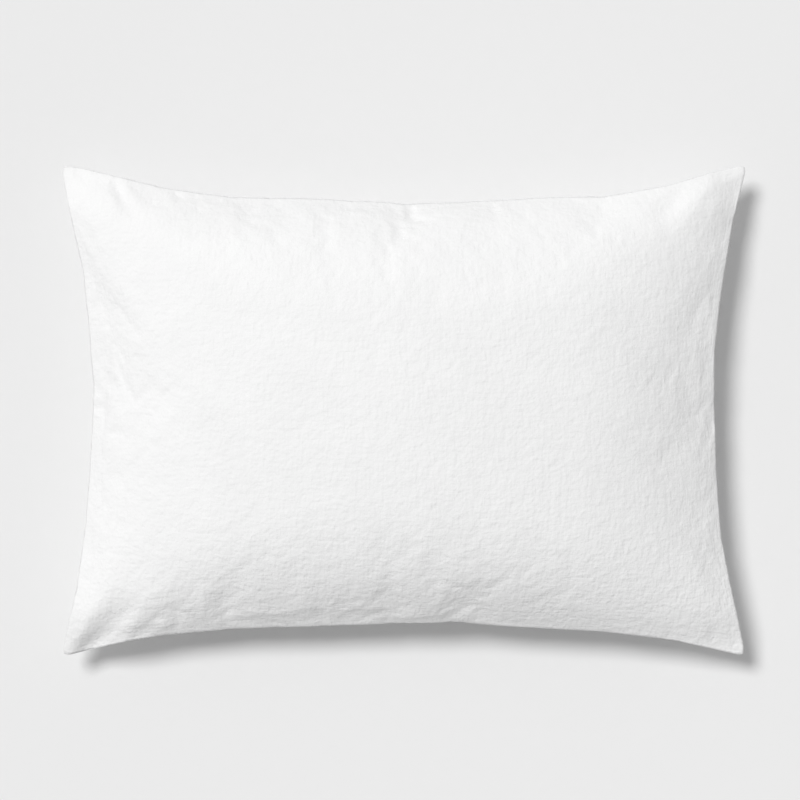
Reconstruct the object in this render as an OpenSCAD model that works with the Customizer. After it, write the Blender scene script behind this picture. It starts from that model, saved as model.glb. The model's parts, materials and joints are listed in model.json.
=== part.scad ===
// Zipped bed pillow: a knife-edge cover with a concealed zip under its front edge,
// and inside it a sewn ticking insert packed with hollow fibre.
// The pillow lies on its back panel: X runs along its length, Y along its width, Z is up.

/* [Pillow] */
// Overall length, corner tip to corner tip
pillow_l = 690; // [640:1:740]
// Overall width, corner tip to corner tip
pillow_w = 496; // [470:1:530]
// Height of the edge seam above the floor, at the middle of each side
seam_h = 62; // [58:1:70]
// Rise of the front panel above the edge seam
front_rise = 90; // [70:1:110]
// Drop of the edge seam towards the four corners
corner_drop = 14; // [0:1:20]
// Radius of the corner tips
corner_r = 9; // [4:0.5:16]

/* [Pulled-in sides] */
// Depth by which the near long side pulls in
near_pull = 32; // [24:1:40]
// Depth by which the far long side pulls in
far_pull = 36; // [28:1:44]
// Depth by which each short side pulls in
end_pull = 30; // [20:1:40]
// Radius of the near side where the zip runs
near_arc_r = 2500; // [2300:50:3500]
// Radius of the middle stretch of the far side
far_arc_r = 3000; // [2300:50:4000]

/* [Cloth] */
// Thickness of the cover cloth
cover_t = 1; // [0.6:0.1:1.2]
// Thickness of the ticking
ticking_t = 0.8; // [0.5:0.1:1]
// Space left for the seam allowance between the cover's edge and the insert's edge
allowance = 14; // [12:0.5:18]
// Diameter of the sewing thread
thread_d = 0.6; // [0.3:0.05:0.7]

/* [Zip] */
// Length of the closed coil chain
zip_l = 500; // [400:5:500]
// Distance of the zip's centre line from the edge seam, measured on the cloth
zip_set = 27; // [25:0.5:29]
// Slope of the cloth that the zip is set in
zip_slope = 38; // [34:1:42]
// Width of each tape
tape_w = 12; // [9:0.5:12]
// Thickness of each tape
tape_t = 0.5; // [0.3:0.05:0.5]
// Diameter of each coil row
coil_d = 1.6; // [1.2:0.1:1.6]
// Length of the slider body
slider_l = 10.5; // [9:0.5:14]
// Width of the slider body
slider_w = 8; // [7.6:0.1:8]
// Length of the pull tab beyond its pivot
pull_l = 18; // [14:0.5:20]

/* [Hidden] */

cover_color = "whitesmoke";
ticking_color = "ivory";
tape_color = "white";
metal_color = "silver";

// A rounded tip stands back from the sharp corner that its two sides would meet in.
tip_loss = corner_r * (1 - 1 / sqrt(2));
half_l = pillow_l / 2 + tip_loss;
half_w = pillow_w / 2 + tip_loss;

// The two panels' rims stand this far apart, and the seam thread lies between them.
seam_gap = thread_d + 0.2;
near_flare_start = 0.76;
far_flare_start = 0.5;
corner_start = 0.8;

// Crown of the front panel and floor patch of the back panel, as exponents and shares.
front_power_x = 3;
front_power_y = 3.2;
patch_x = 0.6;
patch_y = 0.35;
back_power_x = 2;
back_power_y = 2.2;

// How far in plan the straight band of cloth beside the zip runs before the bowl takes over.
band_end = 42;
bowl_start = 80;

// Nested layers: plan inset and crown inset of each cloth face.
cover_inset = cover_t / sin(zip_slope);
insert_inset = allowance;
insert_gap = cover_t + 0.6;
ticking_inset = ticking_t / sin(zip_slope);
fill_inset = insert_inset + ticking_inset + 0.2;
fill_gap = insert_gap + ticking_t + 0.2;

// Centre of the circle that the zip follows, and half the angles of its pieces.
arc_y = -half_w + near_pull - near_arc_r;
chain_half = asin(zip_l / 2 / near_arc_r);
tape_spare = 9;
tape_half = asin((zip_l / 2 + tape_spare) / near_arc_r);
stop_half = asin((zip_l / 2 + 1.5) / near_arc_r);
slider_rest = asin((zip_l / 2 - slider_l / 2 - 2) / near_arc_r);

// Opening in the cloth for the zip, as plan distances from the near edge seam.
channel = slider_w / 2 + 0.75;
strip_edge = (zip_set - channel) * cos(zip_slope);
panel_edge = (zip_set + channel) * cos(zip_slope);
closed_edge = zip_set * cos(zip_slope);
opening_end = 0.8;
opening_shut = 0.866;

// Zip cross-section, as heights out of the cloth's outer face.
tape_top = -cover_t - 0.1;
row_gap = 0.5;
stitch_gap = 0.06;
coil_top = tape_top + coil_d;
plate_t = 1;
plate_under = coil_top + 0.3;
plate_over = plate_under + plate_t;
keel_top = tape_top - tape_t - 0.3;
pivot_h = plate_over + 1.6;
pivot_r = 0.55;
eye_bore_r = pivot_r + 0.07;
eye_r = 1.3;
eye_w = 3.6;
post_gap = 0.3;
post_w = 0.9;

// Numbers of cells along and across each panel.
cover_cells = [30, 24];
insert_cells = [24, 18];
strip_rows = 3;

function mix(a, b, k) = a + (b - a) * k;
function ease(a, b, x) = let (k = min(1, max(0, (x - a) / (b - a)))) k * k * (3 - 2 * k);
function arc_fall(r, x) = r - sqrt(r * r - x * x);
function circle_of(chord_half, sag) = (chord_half * chord_half + sag * sag) / (2 * sag);

// Pull-in of a long side at x: a circle in the middle, and a flare that ends it at the tips.
function long_pull(x, pull, r, flare_start) =
    let (rest = pull - arc_fall(r, half_l))
    pull - arc_fall(r, min(abs(x), half_l)) - rest * ease(flare_start, 1, abs(x) / half_l);

function near_y(x) = -half_w + long_pull(x, near_pull, near_arc_r, near_flare_start);
function far_y(x) = half_w - long_pull(x, far_pull, far_arc_r, far_flare_start);
function end_x(y) = half_l - end_pull + arc_fall(circle_of(half_w, end_pull), min(abs(y), half_w));

// Place in the outline at plan shares s and t from -1 to 1, the outline inset by e.
function plan(s, t, e) =
    let (
        tip = tip_loss * pow(abs(s * t), 60),
        x = s * (end_x(t * half_w) - e - tip),
        y = mix(near_y(x) + e, far_y(x) - e, (t + 1) / 2)
    )
    [x, y - t * tip];

// Shares of a plan point in the outline inset by e.
function share_s(p, e) = min(1, max(-1, p[0] / (end_x(p[1]) - e)));
function share_t(p, e) =
    let (lo = near_y(p[0]) + e, hi = far_y(p[0]) - e)
    min(1, max(-1, 2 * (p[1] - lo) / (hi - lo) - 1));

// Height of the edge seam's surface over a plan point.
function seam_z(p) =
    let (s = abs(share_s(p, 0)), t = abs(share_t(p, 0)))
    seam_h - corner_drop * ease(corner_start, 1, s) * ease(corner_start, 1, t);

function front_point(s, t, e, d) =
    let (
        p = plan(s, t, e),
        crown = (1 - pow(abs(s), front_power_x)) * (1 - pow(abs(t), front_power_y))
    )
    [p[0], p[1], seam_z(p) + seam_gap / 2 + (front_rise - d) * crown];

function falloff(k, patch, power) = 1 - pow(max(0, abs(k) - patch) / (1 - patch), power);

// Height of the back panel over a plan point: a straight band beside the near seam, then a bowl.
function back_z(p, e, d) =
    let (
        s = share_s(p, e),
        t = share_t(p, e),
        top = seam_z(p) - seam_gap / 2,
        lean = sqrt(1 - pow(p[0] / near_arc_r, 2)),
        from_seam = (p[1] - near_y(p[0])) * lean,
        band = top - max(0, from_seam - e) * tan(zip_slope) * (1 - ease(corner_start, 1, abs(s))),
        bowl = top - (top - d) * falloff(s, patch_x, back_power_x) * falloff(t, patch_y, back_power_y)
    )
    mix(band, bowl, ease(band_end, bowl_start, from_seam));

function back_point(s, t, e, d) = let (p = plan(s, t, e)) [p[0], p[1], back_z(p, e, d)];

// Half-width of the zip opening at plan share s: full along the zip, shut beyond it.
function opened(s) = 1 - ease(opening_end, opening_shut, abs(s));

// Place at share s of a row that stands off from the near edge, t being the row's share across.
function row_x(s, t, e) = s * (end_x(t * half_w) - e - tip_loss * pow(abs(s * t), 60));
function row_share(s, off) = let (x = s * half_l) 2 * off / (far_y(x) - near_y(x)) - 1;

// Cloth between the near edge seam and the zip, v from 0 at the seam to 1 at the zip.
function strip_point(s, v, e, d) =
    let (
        off = mix(e, mix(closed_edge, strip_edge, opened(s)), v),
        t = row_share(s, off),
        x = row_x(s, t, e),
        p = [x, near_y(x) + off + tip_loss * pow(abs(s * t), 60)]
    )
    [p[0], p[1], back_z(p, e, d)];

// Cloth beyond the zip, v from 0 at the zip to 1 at the far edge seam.
function main_back_point(s, v, e, d) =
    let (
        off = mix(closed_edge, panel_edge, opened(s)),
        t = mix(row_share(s, off), 1, v),
        x = row_x(s, t, e),
        tip = tip_loss * pow(abs(s * t), 60) * v,
        p = [x, mix(near_y(x) + off, far_y(x) - e, v) - tip]
    )
    [p[0], p[1], back_z(p, e, d)];

// A closed slab of cloth between an upper and a lower face, each a function of i and j.
module cloth(cells, upper, lower) {
    nu = cells[0];
    nv = cells[1];
    row = nu + 1;
    sheet = row * (nv + 1);
    function at(i, j) = j * row + i;
    function under(i, j) = sheet + at(i, j);
    points = concat(
        [for (j = [0:nv]) for (i = [0:nu]) upper(i, j)],
        [for (j = [0:nv]) for (i = [0:nu]) lower(i, j)]
    );
    top_faces = [for (j = [0:nv - 1]) for (i = [0:nu - 1]) each [
        [at(i, j), at(i, j + 1), at(i + 1, j + 1)],
        [at(i, j), at(i + 1, j + 1), at(i + 1, j)]
    ]];
    low_faces = [for (j = [0:nv - 1]) for (i = [0:nu - 1]) each [
        [under(i, j), under(i + 1, j + 1), under(i, j + 1)],
        [under(i, j), under(i + 1, j), under(i + 1, j + 1)]
    ]];
    rim = concat(
        [for (i = [0:nu - 1]) [i, 0]],
        [for (j = [0:nv - 1]) [nu, j]],
        [for (i = [nu:-1:1]) [i, nv]],
        [for (j = [nv:-1:1]) [0, j]]
    );
    rim_faces = [for (k = [0:len(rim) - 1]) let (
        a = rim[k],
        b = rim[(k + 1) % len(rim)]
    ) each [
        [at(a[0], a[1]), at(b[0], b[1]), under(b[0], b[1])],
        [at(a[0], a[1]), under(b[0], b[1]), under(a[0], a[1])]
    ]];
    polyhedron(points, concat(rim_faces, top_faces, low_faces), convexity = 4);
}

function share(i, n) = 2 * i / n - 1;

module front_shell(cells, e, d, e_in, d_in) {
    cloth(
        cells,
        function (i, j) front_point(share(i, cells[0]), share(j, cells[1]), e, d),
        function (i, j) front_point(share(i, cells[0]), share(j, cells[1]), e_in, d_in)
    );
}

module back_shell(cells, e, d, e_in, d_in) {
    cloth(
        cells,
        function (i, j) back_point(share(i, cells[0]), share(j, cells[1]), e_in, d_in),
        function (i, j) back_point(share(i, cells[0]), share(j, cells[1]), e, d)
    );
}

// A thread tube that runs once round the outline inset by e, in the gap between the rims.
module seam_thread(e, cells) {
    sides = 6;
    loop = concat(
        [for (i = [0:cells[0] - 1]) [share(i, cells[0]), -1]],
        [for (j = [0:cells[1] - 1]) [1, share(j, cells[1])]],
        [for (i = [cells[0]:-1:1]) [share(i, cells[0]), 1]],
        [for (j = [cells[1]:-1:1]) [-1, share(j, cells[1])]]
    );
    n = len(loop);
    r = thread_d / 2;
    spine = [for (k = loop) let (p = plan(k[0], k[1], e)) [p[0], p[1], seam_z(p)]];
    function outward(k) =
        let (d = spine[(k + 1) % n] - spine[(k + n - 1) % n], l = norm([d[0], d[1]]))
        [d[1] / l, -d[0] / l, 0];
    points = [for (k = [0:n - 1]) for (a = [0:sides - 1])
        spine[k] + r * cos(360 * a / sides) * outward(k) + [0, 0, r * sin(360 * a / sides)]];
    faces = [for (k = [0:n - 1]) for (a = [0:sides - 1]) let (
        here = k * sides,
        next = ((k + 1) % n) * sides,
        b = (a + 1) % sides
    ) each [
        [here + a, next + b, next + a],
        [here + a, here + b, next + b]
    ]];
    polyhedron(points, faces, convexity = 10);
}

// Point of the zip's cross-section: w along the cloth from the seam, h out of its outer face.
function section(w, h) = [
    near_arc_r + w * cos(zip_slope) - h * sin(zip_slope),
    seam_h - seam_gap / 2 - w * sin(zip_slope) - h * cos(zip_slope)
];

// Sweeps a cross-section along the zip's circle, the same angle to both sides of the middle.
module along_zip(half_angle) {
    translate([0, arc_y, 0])
        rotate([0, 0, 90 - half_angle])
            rotate_extrude(angle = 2 * half_angle, $fn = 1440)
                children();
}

// Rectangle of the cross-section.
module strip_section(w0, w1, h0, h1) {
    polygon([section(w0, h0), section(w1, h0), section(w1, h1), section(w0, h1)]);
}

// Places a piece on the zip: x along the chain, y across it, z out of the cloth.
module on_zip(angle) {
    translate([0, arc_y, 0])
        rotate([0, 0, -angle])
            translate([0, section(zip_set, 0)[0], section(zip_set, 0)[1]])
                rotate([-zip_slope, 0, 0])
                    rotate([0, 180, 0])
                        children();
}

module block(x0, x1, y0, y1, z0, z1) {
    translate([x0, y0, z0])
        cube([x1 - x0, y1 - y0, z1 - z0]);
}

module cover_front() {
    color(cover_color)
        front_shell(cover_cells, 0, 0, cover_inset, cover_t);
}

module cover_back() {
    cells = cover_cells;
    color(cover_color)
        cloth(
            cells,
            function (i, j) main_back_point(share(i, cells[0]), j / cells[1], cover_inset, cover_t),
            function (i, j) main_back_point(share(i, cells[0]), j / cells[1], 0, 0)
        );
}

module cover_zip_strip() {
    cells = [cover_cells[0], strip_rows];
    color(cover_color)
        cloth(
            cells,
            function (i, j) strip_point(share(i, cells[0]), j / cells[1], cover_inset, cover_t),
            function (i, j) strip_point(share(i, cells[0]), j / cells[1], 0, 0)
        );
}

module cover_seam_thread() {
    color(cover_color)
        seam_thread(cover_inset / 2, cover_cells);
}

// Folded blank label, caught in the seam of the left short side.
module care_label() {
    label_l = 36;
    label_w = 9;
    label_t = 0.5;
    color("white")
        translate([-end_x(0) + cover_inset + 0.5, -label_l / 2, seam_h - label_t / 2])
            cube([label_w, label_l, label_t]);
}

module zip_tape_upper() {
    color(tape_color)
        along_zip(tape_half)
            strip_section(zip_set - tape_w, zip_set - row_gap, tape_top - tape_t, tape_top);
}

module zip_tape_lower() {
    color(tape_color)
        along_zip(tape_half)
            strip_section(zip_set + row_gap, zip_set + tape_w, tape_top - tape_t, tape_top);
}

// One coil row, as the round envelope of its turns.
module coil_row(side) {
    centre = section(zip_set + side * (row_gap + coil_d / 2), tape_top + coil_d / 2);
    color(tape_color)
        along_zip(chain_half)
            translate(centre)
                circle(d = coil_d, $fn = 16);
}

module zip_coil_upper() {
    coil_row(-1);
}

module zip_coil_lower() {
    coil_row(1);
}

// A stop crimped over one coil row, beside the lane that the slider's neck runs in.
module coil_stop(side) {
    inner = row_gap + 0.05;
    outer = row_gap + coil_d + 0.2;
    lo = side > 0 ? inner : -outer;
    hi = side > 0 ? outer : -inner;
    block(-1.2, 1.2, lo, hi, tape_top, coil_top + 0.1);
}

module zip_top_stops() {
    color(metal_color)
        on_zip(stop_half)
            for (side = [-1, 1])
                coil_stop(side);
}

module zip_bottom_stop() {
    reach = row_gap + coil_d + 0.2;
    color(metal_color)
        on_zip(-stop_half)
            block(-1.2, 1.2, -reach, reach, tape_top, coil_top + 0.1);
}

// A row of topstitching that holds the cloth's edge to the tape, lying on the cloth.
module zip_stitch(w) {
    along_zip(chain_half)
        strip_section(w - thread_d / 2, w + thread_d / 2, stitch_gap, thread_d * 0.6);
}

module zip_stitch_upper() {
    color(cover_color)
        zip_stitch(zip_set - channel - 2.5);
}

module zip_stitch_lower() {
    color(cover_color)
        zip_stitch(zip_set + channel + 2.5);
}

// Two plates joined by a neck, side flanges that guide the coils, and a bar for the pull.
module zip_slider() {
    neck_l = 3;
    neck_t = 0.6;
    flange_t = 0.8;
    flange_drop = 1.5;
    post_in = eye_w / 2 + post_gap;
    color(metal_color)
        on_zip(slider_rest) {
            block(-slider_l / 2, slider_l / 2, -slider_w / 2, slider_w / 2, plate_under, plate_over);
            block(-slider_l / 2, slider_l / 2, -slider_w / 2, slider_w / 2, keel_top - plate_t, keel_top);
            block(-slider_l / 2, neck_l - slider_l / 2, -neck_t / 2, neck_t / 2, keel_top, plate_under);
            for (side = [-1, 1]) {
                mid = side * (slider_w - flange_t) / 2;
                block(
                    -slider_l / 2, slider_l / 2,
                    mid - flange_t / 2, mid + flange_t / 2,
                    plate_under - flange_drop, plate_under
                );
                post = side * (post_in + post_w / 2);
                block(
                    -eye_r * 0.7, eye_r * 0.7,
                    post - post_w / 2, post + post_w / 2,
                    plate_over, pivot_h + pivot_r + 0.3
                );
            }
            translate([0, post_in + post_w / 2, pivot_h])
                rotate([90, 0, 0])
                    cylinder(r = pivot_r, h = 2 * post_in + post_w, $fn = 32);
        }
}

// Pull tab: an eye round the slider's bar, a narrow neck and a rounded grip with a slot.
module zip_pull() {
    neck_w = eye_w - 0.4;
    grip_w = 6;
    grip_start = 5.5;
    pull_t = 1;
    color(metal_color)
        on_zip(slider_rest)
            translate([0, 0, pivot_h])
                difference() {
                    union() {
                        translate([0, eye_w / 2, 0])
                            rotate([90, 0, 0])
                                cylinder(r = eye_r, h = eye_w, $fn = 32);
                        block(-pull_t / 2, pull_t / 2, -neck_w / 2, neck_w / 2, eye_r * 0.6, grip_start + 1);
                        translate([-pull_t / 2, 0, 0])
                            rotate([0, 90, 0])
                                linear_extrude(pull_t)
                                    difference() {
                                        union() {
                                            translate([-pull_l + grip_w / 2, 0])
                                                circle(d = grip_w, $fn = 48);
                                            translate([-pull_l + grip_w / 2, -grip_w / 2])
                                                square([pull_l - grip_w / 2 - grip_start, grip_w]);
                                        }
                                        translate([-pull_l + grip_w / 2, 0])
                                            circle(d = grip_w - 3, $fn = 32);
                                        translate([-pull_l + grip_w / 2, -grip_w / 2 + 1.5])
                                            square([6, grip_w - 3]);
                                    }
                    }
                    translate([0, eye_w, 0])
                        rotate([90, 0, 0])
                            cylinder(r = eye_bore_r, h = 2 * eye_w, $fn = 32);
                }
}

module insert_front() {
    color(ticking_color)
        front_shell(
            insert_cells,
            insert_inset, insert_gap,
            insert_inset + ticking_inset, insert_gap + ticking_t
        );
}

module insert_back() {
    color(ticking_color)
        back_shell(
            insert_cells,
            insert_inset, insert_gap,
            insert_inset + ticking_inset, insert_gap + ticking_t
        );
}

module insert_seam_thread() {
    color(ticking_color)
        seam_thread(insert_inset + ticking_inset / 2, insert_cells);
}

module fibre_fill() {
    n = insert_cells;
    color("snow")
        cloth(
            n,
            function (i, j) front_point(share(i, n[0]), share(j, n[1]), fill_inset, fill_gap),
            function (i, j) back_point(share(i, n[0]), share(j, n[1]), fill_inset, fill_gap)
        );
}

cover_front();
cover_back();
cover_zip_strip();
cover_seam_thread();
care_label();
zip_tape_upper();
zip_tape_lower();
zip_coil_upper();
zip_coil_lower();
zip_top_stops();
zip_bottom_stop();
zip_stitch_upper();
zip_stitch_lower();
zip_slider();
zip_pull();
insert_front();
insert_back();
insert_seam_thread();
fibre_fill();
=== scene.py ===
import json
import math

import bmesh
import bpy
import numpy as np
from bpy.props import FloatProperty, FloatVectorProperty, IntProperty, PointerProperty
from bpy.types import Operator, Panel, PropertyGroup
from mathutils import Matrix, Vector, noise


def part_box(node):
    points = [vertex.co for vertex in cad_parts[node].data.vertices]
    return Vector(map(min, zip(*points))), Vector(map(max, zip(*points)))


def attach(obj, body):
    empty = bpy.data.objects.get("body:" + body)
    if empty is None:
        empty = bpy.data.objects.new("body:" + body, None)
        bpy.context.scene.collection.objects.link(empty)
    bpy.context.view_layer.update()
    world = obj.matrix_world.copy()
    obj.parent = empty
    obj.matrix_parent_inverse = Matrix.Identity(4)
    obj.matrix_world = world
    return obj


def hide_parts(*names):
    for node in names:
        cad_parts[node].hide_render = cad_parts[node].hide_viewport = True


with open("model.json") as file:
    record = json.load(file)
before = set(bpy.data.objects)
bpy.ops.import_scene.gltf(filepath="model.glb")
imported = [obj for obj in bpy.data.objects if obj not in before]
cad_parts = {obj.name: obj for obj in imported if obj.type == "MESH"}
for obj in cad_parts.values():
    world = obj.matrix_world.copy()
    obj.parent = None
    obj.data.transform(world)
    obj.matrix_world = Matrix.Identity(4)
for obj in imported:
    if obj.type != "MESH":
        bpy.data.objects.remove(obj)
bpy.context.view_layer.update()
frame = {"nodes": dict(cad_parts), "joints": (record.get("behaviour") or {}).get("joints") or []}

bl_info = {
    "name": "Zipped bed pillow",
    "version": (1, 0, 0),
    "blender": (4, 5, 0),
    "location": "3D View > Sidebar > Pillow",
    "description": "Builds the cover, insert, filling and zip trim of a bed pillow around its CAD frame",
    "category": "Object",
}

MM = 0.001
BODY = "pillow"

# Places that the frame gives.
TIP_X = float(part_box("cover_front")[1][0])
TIP_Y = float(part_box("cover_front")[1][1])
TOP_Z = float(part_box("cover_front")[1][2])
SEAM_Z = float(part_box("cover_seam_thread")[1][2]) - 0.3 * MM
CORNER_Z = float(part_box("cover_seam_thread")[0][2]) + 0.3 * MM
JOINTS = {j["name"]: j for j in frame["joints"]}
ARC_Y = JOINTS["zip_travel"]["pos_m"][1]


# ---------------------------------------------------------------- settings


def length(name, default, description):
    return FloatProperty(name=name, description=description, default=default, unit="LENGTH")


def tone(name, default, description):
    return FloatVectorProperty(
        name=name, description=description, default=default, size=3, subtype="COLOR",
    )


def angle(name, degrees, description):
    return FloatProperty(
        name=name, description=description, default=math.radians(degrees), subtype="ANGLE",
    )


class PillowShape(PropertyGroup):
    """Sizes of the filled pillow's outline and of the cloth it is cut from"""

    cut_length: length("Cut length", 0.70, "Panel length between the seams, laid flat")
    cut_width: length("Cut width", 0.50, "Panel width between the seams, laid flat")
    cut_corner: length("Corner radius", 0.0095, "Radius that the corners are sewn to")
    near_pull: length("Near pull", 0.032, "Depth by which the zipped long side pulls in")
    far_pull: length("Far pull", 0.0355, "Depth by which the far long side pulls in")
    end_pull: length("End pull", 0.030, "Depth by which each short side pulls in")
    near_radius: length("Near radius", 2.5, "Radius of the zipped side's middle stretch")
    far_radius: length("Far radius", 3.0, "Radius of the far side's middle stretch")
    cloth: length("Cloth thickness", 0.001, "Thickness of the cover cloth")
    pressure: FloatProperty(
        name="Filling pressure", description="Pressure that the filling puts on the cloth",
        default=4.0,
    )
    settle_steps: IntProperty(
        name="Filling steps", description="Simulation steps that fill the bag", default=30,
    )
    cell: length("Cloth cell", 0.00625, "Side of one simulated cloth cell")


class PillowColours(PropertyGroup):
    """Colours of the cloths, the thread and the zip"""

    cover: tone("Cover", (0.86, 0.86, 0.86), "Brushed cover cloth")
    ticking: tone("Ticking", (0.80, 0.79, 0.76), "Woven cloth of the insert")
    fibre: tone("Filling", (0.88, 0.88, 0.87), "Hollow fibre")
    thread: tone("Thread", (0.84, 0.84, 0.83), "Sewing thread")
    tape: tone("Zip tape", (0.82, 0.82, 0.82), "Woven zip tape")
    coil: tone("Zip coil", (0.78, 0.78, 0.77), "Nylon coil")
    metal: tone("Zip metal", (0.62, 0.62, 0.63), "Plated slider, pull and stops")


class PillowStage(PropertyGroup):
    """Floor, light and camera"""

    floor: tone("Floor", (0.80, 0.80, 0.80), "Colour of the plain floor")
    key_power: FloatProperty(
        name="Key light", description="Strength of the soft key light", default=2.2,
    )
    key_height: angle("Key height", 61.5, "Height of the key light above the horizon")
    key_turn: angle("Key turn", 135, "Where the key light stands, from +X towards +Y")
    key_spread: angle("Key spread", 18, "Angular size of the key light")
    sky_power: FloatProperty(
        name="Sky light", description="Strength of the even light from all round", default=0.42,
    )
    view_width: length("View width", 0.812, "Width of the floor that the camera sees")


# ---------------------------------------------------------------- outline and grids


def shape():
    return bpy.context.scene.pillow_shape


def colours():
    return bpy.context.scene.pillow_colours


def ease(a, b, x):
    """0 before a, 1 after b, and a smooth step between them."""
    k = np.clip((x - a) / (b - a), 0.0, 1.0)
    return k * k * (3 - 2 * k)


def mix(a, b, k):
    return a + (b - a) * k


def arc_fall(radius, x):
    return radius - np.sqrt(radius * radius - x * x)


def sharp_corner():
    """Half sizes of the outline that the sides would meet in if the corners weren't rounded."""
    s = shape()
    half_w = -(ARC_Y + s.near_radius - s.near_pull)
    return TIP_X + (half_w - TIP_Y), half_w


def long_pull(x, pull, radius, flare_start):
    """Pull-in of a long side: a circle in its middle, and flares that end it at the corners."""
    half_l = sharp_corner()[0]
    x = np.minimum(np.abs(x), half_l)
    rest = pull - arc_fall(radius, half_l)
    return pull - arc_fall(radius, x) - rest * ease(flare_start, 1.0, x / half_l)


def near_y(x):
    s = shape()
    return -sharp_corner()[1] + long_pull(x, s.near_pull, s.near_radius, 0.76)


def far_y(x):
    s = shape()
    return sharp_corner()[1] - long_pull(x, s.far_pull, s.far_radius, 0.5)


def end_x(y):
    half_l, half_w = sharp_corner()
    pull = shape().end_pull
    radius = (half_w**2 + pull**2) / (2 * pull)
    return half_l - pull + arc_fall(radius, np.minimum(np.abs(y), half_w))


def seam_height(x, y):
    """Height of the edge seam's surface, which drops towards the corners."""
    s = np.clip(np.abs(x) / end_x(y), 0, 1)
    lo, hi = near_y(x), far_y(x)
    t = np.clip(np.abs(2 * (y - lo) / (hi - lo) - 1), 0, 1)
    return SEAM_Z - (SEAM_Z - CORNER_Z) * ease(0.8, 1, s) * ease(0.8, 1, t)


def finer(grid):
    """Halves the cells of a grid of points both ways, on a smooth curve through them."""
    for axis in (0, 1):
        g = np.moveaxis(grid, axis, 0)
        ends = [2 * g[:1] - g[1:2], g, 2 * g[-1:] - g[-2:-1]]
        p = np.concatenate(ends)
        out = np.empty((2 * len(g) - 1,) + g.shape[1:])
        out[::2] = g
        out[1::2] = (9 * (p[1:-2] + p[2:-1]) - p[:-3] - p[3:]) / 16
        grid = np.moveaxis(out, 0, axis)
    return grid


def smoother(grid, passes, keep_rim=True):
    """Relaxes a grid of points towards the mean of their neighbours."""
    g = grid.copy()
    for _ in range(passes):
        p = np.pad(g, ((1, 1), (1, 1)) + ((0, 0),) * (g.ndim - 2), mode="edge")
        near = (p[:-2, 1:-1] + p[2:, 1:-1] + p[1:-1, :-2] + p[1:-1, 2:]) / 4
        step = (g + near) / 2
        if keep_rim:
            step[0], step[-1] = g[0], g[-1]
            step[:, 0], step[:, -1] = g[:, 0], g[:, -1]
        g = step
    return g


def sample_rows(grid, at):
    """Points on each column of a grid at fractional row numbers."""
    last = grid.shape[0] - 1
    k = np.clip(np.floor(at).astype(int), 0, last - 1)
    f = (at - k)[..., None]
    cols = np.arange(grid.shape[1])[None, :]
    p = [grid[np.clip(k + o, 0, last), cols] for o in (-1, 0, 1, 2)]
    a = 2 * p[1]
    b = p[2] - p[0]
    c = 2 * p[0] - 5 * p[1] + 4 * p[2] - p[3]
    d = 3 * (p[1] - p[2]) + p[3] - p[0]
    return (a + b * f + c * f**2 + d * f**3) / 2


def normals_of(grid):
    du = np.gradient(grid, axis=1)
    dv = np.gradient(grid, axis=0)
    n = np.cross(du, dv)
    return n / np.linalg.norm(n, axis=-1, keepdims=True)


def shares(grid):
    """Column and row shares of a grid, each from -1 to 1."""
    rows, cols = grid.shape[:2]
    return np.meshgrid(np.linspace(-1, 1, cols), np.linspace(-1, 1, rows))


def rim_distance(grid):
    """Distance of a panel's points from its seam, along the flat cloth."""
    u, v = shares(grid)
    s = shape()
    return np.minimum((1 - np.abs(u)) * s.cut_length, (1 - np.abs(v)) * s.cut_width) / 2


def share_rim(source, target):
    """Sews a panel's rim to the rim of another."""
    target[0], target[-1] = source[0], source[-1]
    target[:, 0], target[:, -1] = source[:, 0], source[:, -1]


def seam_path(grid, inset, drop=0.0):
    """A panel's rim as a closed path of points, drawn in from the edge and lowered."""
    half_l, half_w = sharp_corner()
    path = np.concatenate([grid[0, :-1], grid[:-1, -1], grid[-1, :0:-1], grid[:0:-1, 0]])
    return path * (1 - inset / half_l, 1 - inset / half_w, 1) - (0, 0, drop)


# ---------------------------------------------------------------- filling the bag


def cut_bag(cell):
    """Two flat panels sewn together round their rim, as one bag ready to fill."""
    s = shape()
    cols, rows = round(s.cut_length / cell), round(s.cut_width / cell)
    bm = bmesh.new()
    place = bm.verts.layers.int.new("place")
    side = bm.verts.layers.int.new("side")
    bmesh.ops.create_grid(bm, x_segments=cols, y_segments=rows, size=0.5)
    for v in bm.verts:
        v[place] = round((v.co.x + 0.5) * cols) + round((v.co.y + 0.5) * rows) * (cols + 1)
        v[side] = 2 if v.is_boundary else 0
    bmesh.ops.scale(bm, vec=(s.cut_length, s.cut_width, 1), verts=bm.verts)
    copy = bmesh.ops.duplicate(bm, geom=bm.verts[:] + bm.edges[:] + bm.faces[:])["geom"]
    back_verts = [g for g in copy if isinstance(g, bmesh.types.BMVert)]
    bmesh.ops.reverse_faces(bm, faces=[g for g in copy if isinstance(g, bmesh.types.BMFace)])
    for v in back_verts:
        if v[side] == 0:
            v[side] = 1
    # A little slack height keeps the panels apart, and a seeded unevenness starts the puckers.
    wave = np.random.default_rng(7)
    for v in bm.verts:
        if v[side] != 2:
            lift = 4 * MM + wave.uniform(-0.5, 0.5) * MM
            v.co.z = lift if v[side] == 0 else -lift
    bmesh.ops.remove_doubles(bm, verts=[v for v in bm.verts if v[side] == 2], dist=1e-5)
    mesh = bpy.data.meshes.new("bag")
    bm.to_mesh(mesh)
    bm.free()
    return mesh, rows, cols


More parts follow.
